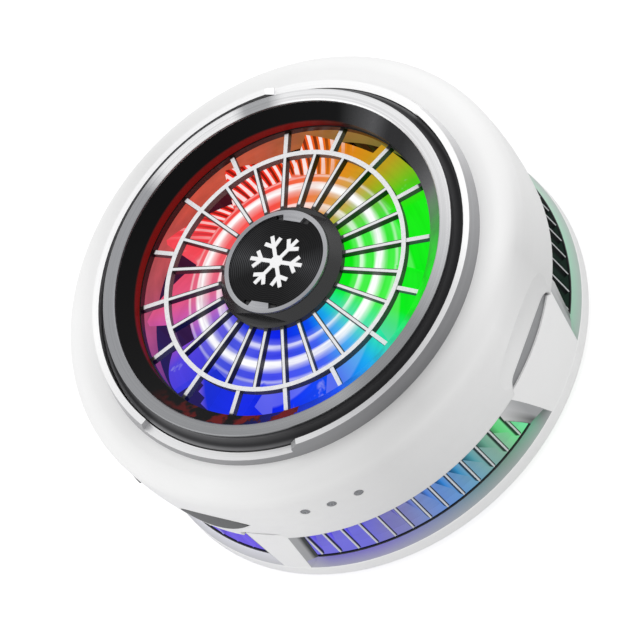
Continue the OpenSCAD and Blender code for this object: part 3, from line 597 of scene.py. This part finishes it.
def soft(name, code, roughness):
    """Foam, film or rubber with open grain."""
    s = Shader(name)
    cells = s.add("TexVoronoi", {"Vector": s.position(), "Scale": 3.5}).outputs["Distance"]
    cloud = s.noise(s.position(), 0.6, 3.0)
    base = rgb(code)
    dark = tuple(c * 0.8 for c in base[:3]) + (1.0,)
    s.set(
        base_color=s.mix(cloud, dark, base),
        roughness=s.span(cells, 0.0, 0.6, roughness - 0.1, roughness + 0.05),
        normal=s.bump(cells, 0.15, 0.05 * MM),
    )
    return s.material


def lens(name, code):
    """Clear or diffusing plastic of a lamp or light pipe."""
    s = Shader(name)
    cloud = s.noise(s.position(), 4.0, 3.0)
    base = rgb(code)
    dark = tuple(c * 0.7 for c in base[:3]) + (1.0,)
    s.set(base_color=s.mix(cloud, dark, base), roughness=s.span(cloud, 0.3, 0.7, 0.2, 0.35))
    s.surface.inputs["Transmission Weight"].default_value = 0.25
    return s.material


# Painted sheen and shade round the trim ring: angle and colour
TRIM_PAINTED_SHEEN = [
    (0, 0xEDEDEE), (20, 0xE6E6E7), (33, 0xDADADB), (48, 0xC8C9CB), (62, 0xAAABAD), (75, 0x8A8B8D),
    (95, 0x8A8B8D), (105, 0xA2A3A5), (118, 0x949597), (150, 0x8E8F91), (200, 0x96979A), (257, 0x9C9DA0),
    (266, 0xEDEDEE),
    (293, 0xEFEFF0), (297, 0xA4A5A7), (305, 0xA4A5A7), (310, 0xEFEFF0), (360, 0xEDEDEE),
]
# Painted highlight sectors in the black funnel: angle and colour
FUNNEL_PAINTED_SHEEN = [
    (0, 0x2C2C2E), (12, 0x48484A), (25, 0x707072), (38, 0x48484A), (55, 0x0A0A0B), (330, 0x070708),
    (345, 0x58585A), (352, 0x2C2C2E), (360, 0x2C2C2E),
]
# Painted light and shade on the top of the collar: angle and colour
COLLAR_TOP_PAINTED_LIGHT = [
    (0, 0xFCFCFC), (45, 0xFAFAFA), (60, 0xDCDCDD), (75, 0xD0D0D1), (90, 0xB8B8BA), (105, 0xC4C4C6),
    (120, 0xD8D8D9), (150, 0xE0E0E1), (180, 0xE2E2E3), (210, 0xF8F8F8), (270, 0xEDEDEE), (330, 0xF8F8F8),
    (360, 0xFCFCFC),
]
# Painted light and shade on the sides of the collar: angle and colour
COLLAR_SIDE_PAINTED_LIGHT = [
    (0, 0xF0F0F1), (25, 0xB8B8BA), (45, 0xA4A4A6), (75, 0x8C8C8E), (95, 0x8A8A8C), (120, 0x9C9C9E),
    (150, 0xA8A8AA), (180, 0xB4B4B6), (210, 0xE0E0E1), (360, 0xF0F0F1),
]
# Painted sheen on the grooves of the black disc: angle and colour
DISC_PAINTED_SHEEN = [
    (0, 0x161617), (30, 0x1C1C1E), (60, 0x4A4B4E), (85, 0x2A2A2C), (120, 0x1A1A1C), (205, 0x1C1C1E),
    (240, 0x505154), (265, 0x303033), (300, 0x1C1C1E), (360, 0x161617),
]
# Painted sheen round the hub ring: angle and colour
HUB_RING_PAINTED_SHEEN = [(0, 0xB4B5B8), (90, 0x94959A), (180, 0xB4B5B8), (270, 0x94959A), (360, 0xB4B5B8)]


def make_finishes():
    """Every finish by the slot name of the record."""
    return {
        "white_plastic": shell_white("white_plastic"),
        "silver_trim": spun_silver("silver_trim", TRIM_PAINTED_SHEEN, 0.3),
        "collar_silver": collar_metal("collar_silver"),
        "black_plastic": plastic("black_plastic", 0x1A1A1C, 0.28, 0.3),
        "guard_white": two_tone("guard_white"),
        "spun_black": spun_black("spun_black"),
        "lit_plastic": lit_fan("lit_plastic"),
        "fin_aluminium": lit_fins("fin_aluminium"),
        "plate_aluminium": metal("plate_aluminium", 0xC8CACC, 0.35),
        "steel": metal("steel", 0x9A9C9F, 0.3),
        "bronze": metal("bronze", 0xA87A3C, 0.4),
        "copper": metal("copper", 0xB87048, 0.35),
        "board_green": board("board_green"),
        "chip_black": plastic("chip_black", 0x1C1C1E, 0.5, 0.2),
        "ceramic_white": plastic("ceramic_white", 0xE6E4DE, 0.6, 0.06),
        "thermal_film": soft("thermal_film", 0x9AA6B8, 0.6),
        "foam": soft("foam", 0x3A3A3C, 0.9),
        "silicone": soft("silicone", 0x8E9094, 0.7),
        "magnet": metal("magnet", 0x8A8C90, 0.25),
        "ferrite": plastic("ferrite", 0x202022, 0.6, 0.25),
        "nylon": plastic("nylon", 0xE4E0D4, 0.5, 0.05),
        "clear_plastic": lens("clear_plastic", 0x9A9CA0),
        "lamp": lens("lamp", 0xF4F0D8),
        "button_grey": plastic("button_grey", 0x5C5D5E, 0.5, 0.2),
        "hub_ring": spun_silver("hub_silver", HUB_RING_PAINTED_SHEEN, 0.3),
        "hub_emblem": plastic("emblem_white", 0xF2F2F3, 0.3, 0.04),
        "lower_housing": lit_housing("housing_white"),
        "socket_shell": metal("socket_steel", 0x4A4B4E, 0.4),
        "air_duct": lit_wall("duct_glow", DUCT_HUES, 0.9, 0x2A2424),
        "bezel": bezel_black("bezel_black"),
        "motor_base": lit_wall("motor_glow", FACE_HUES, 0.9, 0x101012),
        "heatsink_base": lit_base("base_glow"),
    }


def dress(frame, finishes):
    """Give every node the finish of its slot in the record, or its own where it has one."""
    for row in frame["record"]["subparts"]:
        materials = frame["nodes"][row["node"]].data.materials
        materials.clear()
        materials.append(finishes.get(row["node"], finishes[row["material_slot"]]))


def make_camera():
    """Camera at the angle of the photograph."""
    e = CAMERA_ELEVATION
    back = Vector((0.0, -math.cos(e), math.sin(e)))
    level_right = Vector((1.0, 0.0, 0.0))
    level_up = Vector((0.0, math.sin(e), math.cos(e)))
    right = level_right * math.cos(CAMERA_ROLL) - level_up * math.sin(CAMERA_ROLL)
    up = level_right * math.sin(CAMERA_ROLL) + level_up * math.cos(CAMERA_ROLL)
    data = bpy.data.cameras.new("camera")
    data.sensor_width = CAMERA_SENSOR
    data.lens = CAMERA_SENSOR * CAMERA_DISTANCE / FRAME_WIDTH
    camera = bpy.data.objects.new("camera", data)
    turn = Matrix((right, up, back)).transposed().to_4x4()
    camera.matrix_world = Matrix.Translation(CAMERA_TARGET + back * CAMERA_DISTANCE) @ turn
    bpy.context.scene.collection.objects.link(camera)
    bpy.context.scene.camera = camera


def make_world(ambient):
    """White surroundings to the camera, to gloss and to glass, and a plain soft light to the rest."""
    world = bpy.data.worlds.new("studio")
    bpy.context.scene.world = world
    world.use_nodes = True
    tree = world.node_tree
    sky = tree.nodes["Background"]
    path = tree.nodes.new("ShaderNodeLightPath")
    seen = path.outputs["Is Camera Ray"]
    for name in ("Is Glossy Ray", "Is Transmission Ray"):
        most = tree.nodes.new("ShaderNodeMath")
        most.operation = "MAXIMUM"
        tree.links.new(seen, most.inputs[0])
        tree.links.new(path.outputs[name], most.inputs[1])
        seen = most.outputs[0]
    level = tree.nodes.new("ShaderNodeMapRange")
    level.inputs["To Min"].default_value = ambient
    level.inputs["To Max"].default_value = 1.0
    tree.links.new(seen, level.inputs["Value"])
    tree.links.new(level.outputs[0], sky.inputs["Strength"])
    sky.inputs["Color"].default_value = (1, 1, 1, 1)


def make_floor():
    """Wide white floor that keeps a faint shadow."""
    bpy.ops.mesh.primitive_plane_add(size=FLOOR_SIZE, location=(0, 0, FLOOR_Z))
    floor = bpy.context.object
    floor.name = "floor"
    s = Shader("floor")
    path = s.add("LightPath")
    seen = path.outputs["Is Camera Ray"]
    grain = s.noise(s.position(), 0.02, 2.0)
    s.set(
        base_color=s.mix(seen, rgb(0xE8E8E8), s.mix(grain, rgb(0xA0A0A0), rgb(0xA4A4A4))),
        roughness=0.9,
        specular_ior_level=0.0,
        emission_color=(1, 1, 1, 1),
        emission_strength=s.span(seen, 0.0, 1.0, 0.0, 0.82),
    )
    floor.data.materials.append(s.material)


def make_lamp(name, azimuth, elevation, distance, size, power):
    """Square soft light aimed at the object, placed by azimuth from +X and elevation."""
    data = bpy.data.lights.new(name, "AREA")
    data.shape = "SQUARE"
    data.size = size
    data.energy = power
    lamp = bpy.data.objects.new(name, data)
    a, e = math.radians(azimuth), math.radians(elevation)
    ray = Vector((math.cos(e) * math.cos(a), math.cos(e) * math.sin(a), math.sin(e)))
    lamp.location = CAMERA_TARGET + ray * distance
    lamp.rotation_euler = ray.to_track_quat("Z", "Y").to_euler()
    bpy.context.scene.collection.objects.link(lamp)


def main():
    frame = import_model()
    bpy.context.scene.view_settings.view_transform = "Standard"
    make_camera()
    make_world(AMBIENT)
    make_floor()
    for lamp in LAMPS:
        make_lamp(*lamp)
    dress(frame, make_finishes())


main()
